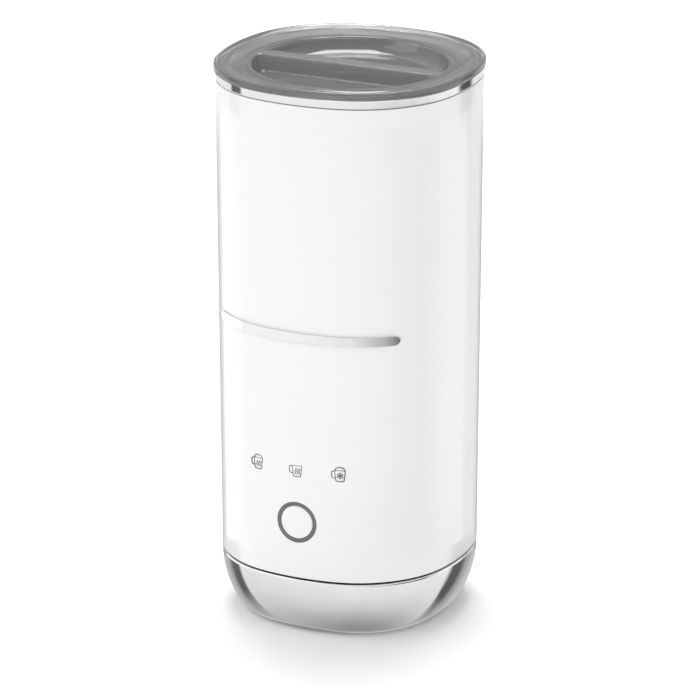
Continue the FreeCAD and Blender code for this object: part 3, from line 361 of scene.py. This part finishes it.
def bowl_section():
    """Outer and inner line of the bowl's wall: a long side arc and a small turn at the foot."""
    drop = bowl_high.z - bowl_low.z
    side = (FOOT_INSET ** 2 + drop ** 2 - 2 * drop * FOOT_TURN) / (2 * (FOOT_INSET - FOOT_TURN))
    side_centre = (side, bowl_high.z)
    turn_centre = (FOOT_INSET, bowl_low.z + FOOT_TURN)
    meet = 180 + atan2(side_centre[1] - turn_centre[1], side_centre[0] - turn_centre[0]) * 180 / pi
    outer = arc(side_centre, side, meet, 180, 24)
    outer = arc(turn_centre, FOOT_TURN, 270, meet, 16)[:-1] + outer
    inner = arc(side_centre, side - BOWL_WALL, 180, meet, 24)
    inner += arc(turn_centre, FOOT_TURN - BOWL_WALL, meet, 270, 10)[1:]
    return outer, inner


def make_bowl():
    outer, inner = bowl_section()
    rim = bowl_high.z
    lip = [(OPENING_INSET, bowl_low.z + BOWL_WALL), (OPENING_INSET, bowl_low.z)]
    lip_edge = 0.25 * MM
    top = arc((lip_edge, rim - lip_edge), lip_edge, 180, 90, 5)
    outer = [point for point in outer if point[1] < rim - lip_edge]
    section = outer + top + inner + lip
    bm = bmesh.new()
    skin(bm, [soft_square(SEAM_HALF, inset, level) for inset, level in section], loop=True)
    bowl = finish_mesh("bowl_shell", bm)
    inlet_low, inlet_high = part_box("cord_inlet")
    radius = (inlet_high.x - inlet_low.x) / 2
    centre = (inlet_high.z + inlet_low.z) / 2
    cut_away(bowl, rod_y("inlet_cutter", radius, inlet_low.y, SEAM_HALF * 1.2, centre))
    settle(bowl, chrome, "base", "bright_chrome", "base_bowl")


make_bowl()


# ---------------------------------------------------------------- jug shell

def make_sleeve():
    foot, top = sleeve_low.z + FOOT_GAP, sleeve_high.z - TOP_GAP
    edge = CRISP_EDGE
    levels = 24
    outer = [(0, foot + edge + (top - foot - 2 * edge) * step / levels)
             for step in range(levels + 1)]
    inner = [(SLEEVE_WALL, top), (SLEEVE_WALL, foot)]
    section = (arc((edge, foot + edge), edge, 270, 180, 4)[:-1] + outer
               + arc((edge, top - edge), edge, 180, 90, 4)[1:] + inner)
    bm = bmesh.new()
    skin(bm, [soft_square(jug_half(level), inset, level) for inset, level in section], loop=True)
    sleeve = finish_mesh("white_sleeve", bm)
    centre = (light_low.z + light_high.z) / 2
    radius = (light_high.x - light_low.x) / 2
    clearance = 0.02 * MM
    cut_away(sleeve, rod_y("button_cutter", radius + clearance, -SEAM_HALF * 1.3,
                           -SEAM_HALF * 0.6, centre, 160))
    settle(sleeve, white_gloss, "jug", "white_shell", "outer_sleeve")


def make_rim():
    low, high = rim_low.z, rim_high.z
    seat = 41.2 * MM
    bore = 39.3 * MM
    seat_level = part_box("pot_gasket")[0].z
    bm = bmesh.new()
    rings = [soft_square(TOP_HALF, inset, level) for inset, level in
             arc((CRISP_EDGE, low + CRISP_EDGE), CRISP_EDGE, 270, 180, 4)
             + [(0, low + 2 * CRISP_EDGE), (0, high - 2 * CRISP_EDGE)]
             + arc((CRISP_EDGE, high - CRISP_EDGE), CRISP_EDGE, 180, 90, 4)]
    rings += [circle(seat, high), circle(seat, seat_level), circle(bore, seat_level),
              circle(bore, low)]
    skin(bm, rings, loop=True)
    settle(finish_mesh("mouth_ring", bm), chrome, "jug", "bright_chrome", "rim_ring")


make_sleeve()
make_rim()


# ---------------------------------------------------------------- lid

def make_lid():
    deck = lid_high.z - 0.9 * MM
    dish = deck - 0.7 * MM
    under = rim_high.z + 0.2 * MM
    lean = tan(radians(25))
    scoop_floor = dish - 5.2 * MM
    wall = 1.2 * MM
    bar_half = 3.0 * MM
    skirt_outer = 36.8 * MM
    skirt_inner = 34.6 * MM
    edge = 1.1 * MM
    floor_turns = {1: 6.0 * MM, -1: 0.7 * MM}
    scoop_radius = 33.6 * MM
    bm = bmesh.new()

    lip = 0.9 * MM
    foot_edge = 0.3 * MM
    bead = [(3.9, 0.0), (4.3, 0.1), (4.7, 0.3), (5.1, 0.42), (5.5, 0.42), (5.9, 0.3), (6.3, 0.1),
            (6.7, 0.0)]
    rim_section = (arc((foot_edge, under + foot_edge), foot_edge, 270, 180, 6)
                   + arc((lip, lid_high.z - lip), lip, 180, 50, 12)
                   + arc((2.6 * MM, deck + 0.5 * MM), 0.5 * MM, 215, 270, 5)
                   + [(inset * MM, deck + rise * MM) for inset, rise in bead])
    rings = [circle(skirt_outer, under)]
    rings += [soft_square(LID_HALF, inset, level) for inset, level in rim_section]
    rings += [circle(35.6 * MM, dish + 0.05 * MM), circle(35.0 * MM, dish)]
    outer = skin(bm, rings)

    groove_low, groove_high = gasket_low.z - 0.1 * MM, gasket_high.z + 0.1 * MM
    groove = 36.0 * MM
    foot = lid_low.z
    skirt = [(skirt_outer, groove_high), (groove, groove_high), (groove, groove_low),
             (skirt_outer, groove_low), (skirt_outer, foot + EDGE), (skirt_outer - EDGE, foot),
             (skirt_inner + EDGE, foot), (skirt_inner, foot + EDGE), (skirt_inner, under)]
    made = skin(bm, [circle(radius, level) for radius, level in skirt])
    bridge(bm, outer[0], made[0])

    top_loops = [outer[-1]]
    under_loops = [made[-1]]
    fillet_start = edge * tan(radians(65 / 2))
    for side, floor_turn in floor_turns.items():
        floor_start = (dish - scoop_floor) * lean + floor_turn * tan(radians(65 / 2))
        section = [(x - fillet_start, level) for x, level in
                   arc((0, dish - edge), edge, 90, 25, 8)]
        section += arc((floor_start, scoop_floor + floor_turn), floor_turn, 205, 270, 16)
        made = skin(bm, [half_moon(scoop_radius - inset, bar_half + inset,
                                   max(1.2 * MM - inset * 0.1, 0.7 * MM), side, level)
                         for inset, level in section])
        cap(bm, made[-1])
        top_loops.append(made[0])

        turn = floor_turn + wall
        bottom = scoop_floor - wall
        start = (dish - under) * lean
        last = (dish - bottom) * lean + turn * tan(radians(65 / 2))
        section = [(start, under)] + arc((last, bottom + turn), turn, 205, 270, 12)
        made = skin(bm, [half_moon(scoop_radius + wall - inset, bar_half - wall + inset,
                                   2.0 * MM, side, level) for inset, level in section])
        cap(bm, made[-1])
        under_loops.append(made[0])
    fill(bm, top_loops)
    fill(bm, under_loops)
    settle(finish_mesh("smoked_lid", bm, 40), smoked, "lid", "smoked_lid", "lid_shell")


make_lid()


# ---------------------------------------------------------------- front details

def front_surface(x, level, proud=0.0):
    """Point on the sleeve's front side arc, moved out of the surface by proud."""
    half = jug_half(level)
    radius = SIDE_RATIO * half + proud
    return Vector((x, (SIDE_RATIO - 1) * half - sqrt(radius ** 2 - x ** 2), level))


DISC_STEPS = 120


def front_rings(centre, section):
    """Circles of (radius, proud) that follow the curved front."""
    rings = []
    for radius, proud in section:
        ring = []
        for step in range(DISC_STEPS):
            angle = 2 * pi * step / DISC_STEPS
            x = radius * cos(angle)
            ring.append(front_surface(x, centre + radius * sin(angle), proud))
        rings.append(ring)
    return rings


def make_button():
    centre = (light_low.z + light_high.z) / 2
    outer = (light_high.x - light_low.x) / 2
    inner = 6.0 * MM
    edge = 0.04 * MM
    deep = -1.2 * MM
    section = [(outer, deep)] + [(outer - edge + x, y - edge) for x, y in
                                 arc((0, 0), edge, 0, 90, 4)]
    section += [(outer - 4 * edge, 0), (inner + 4 * edge, 0)]
    section += [(inner + edge + x, y - edge) for x, y in arc((0, 0), edge, 90, 180, 4)]
    section += [(inner, deep)]
    bm = bmesh.new()
    skin(bm, front_rings(centre, section), loop=True)
    settle(finish_mesh("button_light_ring", bm), ring_grey, "jug", "ring_grey", "button_ring")

    cap_radius = inner - 0.1 * MM
    flange_radius = (button_high.x - button_low.x) / 2
    flange_face = -40.6 * MM
    flange_back = -39.6 * MM
    stem_radius = 1.5 * MM
    edge = 0.25 * MM
    section = [(0.3 * MM, 0), (2.0 * MM, 0), (4.0 * MM, 0)]
    section += [(cap_radius - edge + x, y - edge) for x, y in arc((0, 0), edge, 90, 0, 5)]
    rings = front_rings(centre, section)
    for radius, y in [(cap_radius, flange_face), (flange_radius, flange_face),
                      (flange_radius, flange_back), (stem_radius, flange_back),
                      (stem_radius, button_high.y)]:
        rings.append(ring_y(radius, y, centre, DISC_STEPS))
    bm = bmesh.new()
    made = skin(bm, rings)
    cap(bm, made[0])
    cap(bm, made[-1])
    settle(finish_mesh("button_cap", bm), white_gloss, "button", "white_shell", "push_button")


ICON_SCALE = 0.94 * MM


def ribbon(bm, line, centre_x, centre_z, width=0.33 * MM, closed=False):
    """Printed stroke that follows a line of (x, z) points in millimetres on the front."""
    points = [Vector((x, z)) * ICON_SCALE for x, z in line]
    count = len(points)
    rows = []
    for index, point in enumerate(points):
        before = points[(index - 1) % count] if closed or index else point
        after = points[(index + 1) % count] if closed or index < count - 1 else point
        along = (after - before).normalized()
        across = Vector((-along.y, along.x)) * width / 2
        row = []
        for side, proud in ((1, -0.1 * MM), (1, 0.03 * MM), (-1, 0.03 * MM), (-1, -0.1 * MM)):
            edge = point + across * side
            place = front_surface(centre_x + edge.x, centre_z + edge.y, proud)
            row.append(bm.verts.new(place))
        rows.append(row)
    pairs = list(zip(rows, rows[1:]))
    if closed:
        pairs.append((rows[-1], rows[0]))
    for first, second in pairs:
        bridge(bm, first, second)
    if not closed:
        bm.faces.new(rows[0])
        bm.faces.new(rows[-1])


def bow(centre, radius, first, last, steps=10, squash=1.0):
    return [(centre[0] + radius * cos(radians(first + (last - first) * step / steps)),
             centre[1] + squash * radius * sin(radians(first + (last - first) * step / steps)))
            for step in range(steps + 1)]


def mug_strokes(foam, filling):
    """Strokes of a tapered mug with its handle on the left; filling is steam or a snowflake."""
    brim, foot = 1.65, -2.5
    top, bottom, corner = 1.95, 1.5, 0.5
    cup = [(-top, brim)] + bow((-bottom + corner, foot + corner), corner, 185, 270, 5)
    cup += bow((bottom - corner, foot + corner), corner, 270, 355, 5) + [(top, brim)]
    handle = [(-top, brim - 0.25)] + bow((-top - 0.55, brim - 0.95), 0.6, 100, 180, 5)
    handle += bow((-top - 0.4, foot + 1.85), 0.6, 190, 275, 5) + [(-bottom - 0.15, foot + 1.15)]
    strokes = [(cup, True), (handle, False)]
    if foam:
        strokes.append((bow((0, brim), top - 0.2, 176, 125, 5, 0.75)
                        + bow((0, brim + 0.75), 0.75, 150, 30, 6, 0.75)
                        + bow((0, brim), top - 0.2, 55, 4, 5, 0.75), False))
    if filling == "steam":
        for offset in (-0.8, 0.0, 0.8):
            wave = [(offset + 0.2 * sin(step / 8 * 2 * pi) + 0.03 * step,
                     -1.6 + 2.3 * step / 12) for step in range(13)]
            strokes.append((wave, False))
    else:
        middle, reach, barb_swing, barb_root = -0.35, 1.15, 0.3, 0.7
        for turn in (90, 30, -30):
            x, z = cos(radians(turn)), sin(radians(turn))
            strokes.append(([(-reach * x, middle - reach * z),
                             (reach * x, middle + reach * z)], False))
        for turn in range(30, 390, 60):
            ends = []
            for swing in (-barb_swing, barb_swing):
                angle = radians(turn) + swing
                ends.append((reach * cos(angle), middle + reach * sin(angle)))
            root = reach * barb_root
            inner = (root * cos(radians(turn)), middle + root * sin(radians(turn)))
            strokes.append(([ends[0], inner, ends[1]], False))
    return strokes


def make_icons():
    guide_low, guide_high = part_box("icon_light_guides")
    level = (guide_low.z + guide_high.z) / 2
    pitch = 15.35 * MM
    kinds = [("icon_hot_foam", -1, True, "steam"), ("icon_hot_milk", 0, False, "steam"),
             ("icon_cold_foam", 1, True, "flake")]
    for name, column, foam, filling in kinds:
        bm = bmesh.new()
        for line, closed in mug_strokes(foam, filling):
            ribbon(bm, line, column * pitch + 0.3 * MM, level - 0.2 * MM, closed=closed)
        settle(finish_mesh(name, bm), print_grey, "jug", "ring_grey")


make_button()
make_icons()


# ---------------------------------------------------------------- whisk coil

def make_coil():
    """Ring-shaped spring: a fine wire wound round a circle."""
    ring = (coil_high.x - coil_low.x + coil_high.y - coil_low.y) / 4
    thick = (coil_high.z - coil_low.z) / 2
    level = (coil_high.z + coil_low.z) / 2
    wire = 0.35 * MM
    turns = 56
    steps = turns * 16
    curve = bpy.data.curves.new("whisk_spring", "CURVE")
    curve.dimensions = "3D"
    curve.bevel_depth = wire
    curve.bevel_resolution = 2
    line = curve.splines.new("POLY")
    line.points.add(steps - 1)
    line.use_cyclic_u = True
    for step in range(steps):
        around = 2 * pi * step / steps
        twist = around * turns
        radius = ring - thick + (thick - wire) * cos(twist)
        line.points[step].co = (radius * cos(around), radius * sin(around),
                                level + (thick - wire) * sin(twist), 1)
    coil = bpy.data.objects.new("whisk_spring", curve)
    bpy.context.scene.collection.objects.link(coil)
    settle(coil, brushed, "whisk", "plain_steel", "whisk_coil")


make_coil()


# ---------------------------------------------------------------- CAD nodes that stay

CARRIED = {
    "base_top_cover": black_plastic, "base_connector": black_plastic,
    "base_contact_rings": brass, "base_bottom_plate": black_plastic, "base_feet": rubber,
    "base_screws": zinc, "base_weight": zinc, "cord_inlet": rubber,
    "jug_connector": black_plastic, "jug_contact_pin": brass, "front_badge": chrome,
    "inner_pot": satin, "pot_gasket": silicone, "whisk_axle": brushed, "heater_ring": cast,
    "temperature_sensor": potting, "thermal_fuse": potting, "heater_leads": red_lead,
    "chassis": black_plastic, "jug_bottom_cover": black_plastic, "jug_screws": zinc,
    "power_board": board, "power_board_parts": moulded, "control_board": board,
    "board_screws": zinc, "tact_switch": moulded, "indicator_leds": clear,
    "icon_light_guides": clear, "motor_can": zinc,
    "motor_end_cap": black_plastic, "motor_bushes": bronze, "motor_magnets": ferrite,
    "motor_screws": zinc, "motor_shaft": brushed, "motor_armature": cast,
    "magnet_carrier": nylon, "drive_magnets": nickel, "whisk_bush": nylon,
    "whisk_frame": black_plastic, "whisk_magnets": nickel,
    "lid_gasket": silicone,
}
for node_name, material in CARRIED.items():
    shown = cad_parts[node_name]
    shown.data.materials.clear()
    shown.data.materials.append(material)


# ---------------------------------------------------------------- floor, light and camera

def make_floor():
    mesh = bpy.data.meshes.new("floor")
    reach = 6.0
    corners = [(-reach, -reach, 0), (reach, -reach, 0), (reach, reach, 0), (-reach, reach, 0)]
    mesh.from_pydata(corners, [], [(0, 1, 2, 3)])
    floor = bpy.data.objects.new("floor", mesh)
    bpy.context.scene.collection.objects.link(floor)
    mesh.materials.append(surface("floor_paper", (0.92, 0.92, 0.92), (0.93, 0.93, 0.93), 0.8, 0.9,
                                  40, bump=0.0, Specular_IOR_Level=0.1))
    floor.visible_glossy = False


def make_painted_shadow_disc():
    """Faintly glowing dark disc under the base, seen only in the polished bowl: a painted shadow
    that stands in for the shaded floor under the base in the bowl's reflection.
    """
    radius = 36 * MM
    height = 0.05 * MM
    bm = bmesh.new()
    made = skin(bm, [circle(radius, height), circle(2 * MM, height)])
    cap(bm, made[-1])
    disc = finish_mesh("painted_shadow_disc", bm)
    # Dark grey with a faint glow: painted shadow, the shaded floor under the base as the bowl's
    # foot reflects it.
    disc.data.materials.append(surface("painted_shadow_grey", (0.03, 0.03, 0.03), (0.04, 0.04, 0.04),
                                       0.8, 0.9, 40, bump=0.0, Specular_IOR_Level=0.1,
                                       Emission_Strength=0.29))
    disc.visible_camera = False
    disc.visible_diffuse = False
    disc.visible_transmission = False
    disc.visible_shadow = False


# Brightness of the room by compass bearing in degrees: 0 is the front, 90 is the object's +X side.
# The mouth ring mirrors the zone just under the horizon, the white sleeve the zone below it, and
# the bowl the lowest zone.
RING_ZONE = [(-180, 0.95), (-92, 0.95), (-88, 0.08), (-75, 0.08), (-71, 1.0), (0, 1.0),
             (60, 0.95), (120, 1.05), (143, 1.05), (147, 0.08), (158, 0.08), (162, 0.9),
             (180, 0.95)]
BODY_ZONE = [(-180, 0.4), (-124, 0.4), (-117, 1.45), (-80, 1.5), (-73, 1.1), (-30, 1.1),
             (15, 0.95), (55, 0.5), (75, 0.05), (104, 0.05), (110, 0.6), (130, 1.2), (154, 1.3),
             (158, 0.8), (174, 0.8), (180, 0.6)]
BOWL_ZONE = [(-180, 0.62), (-125, 0.58), (-111, 0.36), (-105, 0.15), (-91, 0.15), (-86, 0.95),
             (0, 1.0), (60, 1.0), (110, 1.0), (142, 0.98), (147, 0.13), (159, 0.13), (166, 0.4),
             (180, 0.62)]
# Brightness by the sine of the angle below or above the horizon.
DOWNWARD = [(0, 1.1), (0.26, 1.0), (0.38, 0.98), (0.62, 0.88), (0.78, 0.73), (0.9, 0.51),
            (0.97, 0.37), (1, 0.32)]
UPWARD = [(0, 1.12), (0.3, 1.05), (0.6, 0.88), (1, 0.78)]
UPWARD_BEHIND = [(0, 0.3), (0.2, 0.36), (0.34, 0.62), (0.45, 0.5), (0.6, 0.85), (1, 0.78)]


def make_world():
    """White room whose brightness changes with compass bearing and height."""
    world = bpy.data.worlds.new("room")
    bpy.context.scene.world = world
    world.use_nodes = True
    tree = world.node_tree
    background = tree.nodes["Background"]

    def ramp(stops, source, output, first=0.0, span=1.0):
        node = tree.nodes.new("ShaderNodeValToRGB")
        items = node.color_ramp.elements
        while len(items) > 1:
            items.remove(items[-1])
        for index, (place, level) in enumerate(stops):
            position = (place - first) / span
            item = items[0] if index == 0 else items.new(position)
            item.position = position
            item.color = (level, level, level, 1)
        link(tree, source, output, node, "Fac")
        return node

    def math(operation, *sources):
        node = tree.nodes.new("ShaderNodeMath")
        node.operation = operation
        for index, source in enumerate(sources):
            if isinstance(source, tuple):
                link(tree, source[0], source[1], node, index)
            else:
                node.inputs[index].default_value = source
        return node

    def step(source, output, low, high):
        node = tree.nodes.new("ShaderNodeMapRange")
        node.inputs["From Min"].default_value = low
        node.inputs["From Max"].default_value = high
        link(tree, source, output, node, "Value")
        return node

    def mix(share, first, second):
        node = tree.nodes.new("ShaderNodeMix")
        link(tree, share, "Result", node, "Factor")
        link(tree, first[0], first[1], node, "A")
        link(tree, second[0], second[1], node, "B")
        return node

    place = tree.nodes.new("ShaderNodeTexCoord")
    split = tree.nodes.new("ShaderNodeSeparateXYZ")
    link(tree, place, "Generated", split, "Vector")
    front = math("MULTIPLY", (split, "Y"), -1.0)
    bearing = math("ARCTAN2", (split, "X"), (front, "Value"))
    compass = step(bearing, "Value", -pi, pi)
    depth = math("MULTIPLY", (split, "Z"), -1.0)
    zones = [ramp(stops, compass, "Result", -180.0, 360.0)
             for stops in (RING_ZONE, BODY_ZONE, BOWL_ZONE)]
    upper_edge = step(depth, "Value", 0.274, 0.283)
    lower_edge = step(depth, "Value", 0.373, 0.384)
    walls = mix(upper_edge, (zones[0], "Color"), (zones[1], "Color"))
    plain = ramp([(0, 0.97), (1, 0.97)], compass, "Result")
    fade = step(depth, "Value", 0.6, 0.9)
    bowl_bands = mix(fade, (zones[2], "Color"), (plain, "Color"))
    bands = mix(lower_edge, (walls, "Result"), (bowl_bands, "Result"))
    below = math("MULTIPLY", (bands, "Result"), (ramp(DOWNWARD, depth, "Value"), "Color"))
    aside = math("ABSOLUTE", (bearing, "Value"))
    behind = step(aside, "Value", radians(75), radians(115))
    above = mix(behind, (ramp(UPWARD, split, "Z"), "Color"),
                (ramp(UPWARD_BEHIND, split, "Z"), "Color"))
    horizon = step(depth, "Value", -0.01, 0.01)
    room = mix(horizon, (above, "Result"), (below, "Value"))
    link(tree, room, "Result", background, "Color")
    background.inputs["Strength"].default_value = 1.0


def area_light(name, place, target, size, power):
    light = bpy.data.lights.new(name, "AREA")
    light.shape = "RECTANGLE"
    light.size, light.size_y = size
    light.energy = power
    lamp = bpy.data.objects.new(name, light)
    lamp.location = place
    lamp.rotation_euler = (Vector(target) - Vector(place)).to_track_quat("-Z", "Y").to_euler()
    bpy.context.scene.collection.objects.link(lamp)


def make_camera():
    azimuth = radians(25.1)
    elevation = radians(18.85)
    distance = 1.5682
    aim = Vector((0, 0, 0.0915))
    back = Vector((sin(azimuth) * cos(elevation), -cos(azimuth) * cos(elevation),
                   sin(elevation)))
    camera_data = bpy.data.cameras.new("camera")
    camera_data.lens = 233.2
    camera_data.sensor_width = 36
    camera = bpy.data.objects.new("camera", camera_data)
    camera.location = aim + back * distance
    camera.rotation_euler = (-back).to_track_quat("-Z", "Y").to_euler()
    bpy.context.scene.collection.objects.link(camera)
    bpy.context.scene.camera = camera


make_floor()
# Painted shadow disc under the base, seen only in the bowl's reflection.
make_painted_shadow_disc()
make_world()
area_light("key", (-1.2, -0.9, 1.5), (0, 0, 0.1), (1.2, 1.2), 5)
area_light("top", (-0.25, 0.6, 2.1), (0, 0.05, 0.0), (1.1, 1.1), 33)
make_camera()
bpy.context.scene.view_settings.view_transform = "Standard"
